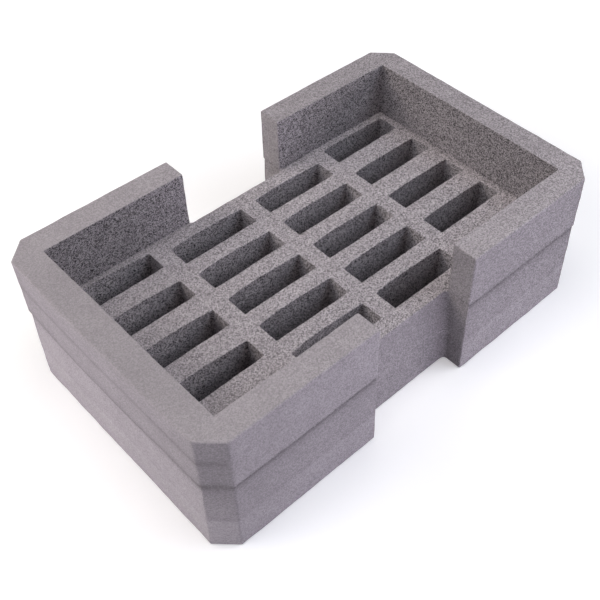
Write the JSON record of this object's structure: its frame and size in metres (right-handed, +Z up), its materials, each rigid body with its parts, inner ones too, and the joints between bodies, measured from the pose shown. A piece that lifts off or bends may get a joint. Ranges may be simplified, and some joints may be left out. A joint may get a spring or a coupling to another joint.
{
  "type": "slotted foam packing tray",
  "caption": "Laminated foam cushion tray: a slotted base with hand notches in its long sides and a three-sided collar on each end, for goods that stand on edge in slots.",
  "frame": {"origin": "middle of the underside", "axes": "+Z up out of the slots, +X along the length from the left collar to the right one, +Y across towards the back long side"},
  "size_m": [0.57, 0.352, 0.185],
  "materials": {
    "base_foam": "closed-cell polyethylene foam, knife-cut, matt, salt-and-pepper cell grain",
    "collar_foam": "closed-cell polyethylene foam, knife-cut, matt, salt-and-pepper cell grain",
    "glue": "thin film of hot-melt glue between foam layers"
  },
  "bodies": {
    "root": {"bottom_plate": "base_foam", "base_glue_film": "glue", "slotted_sheet": "base_foam", "left_collar_glue_film": "glue", "right_collar_glue_film": "glue", "left_collar": "collar_foam", "right_collar": "collar_foam"}
  },
  "joints": []
}
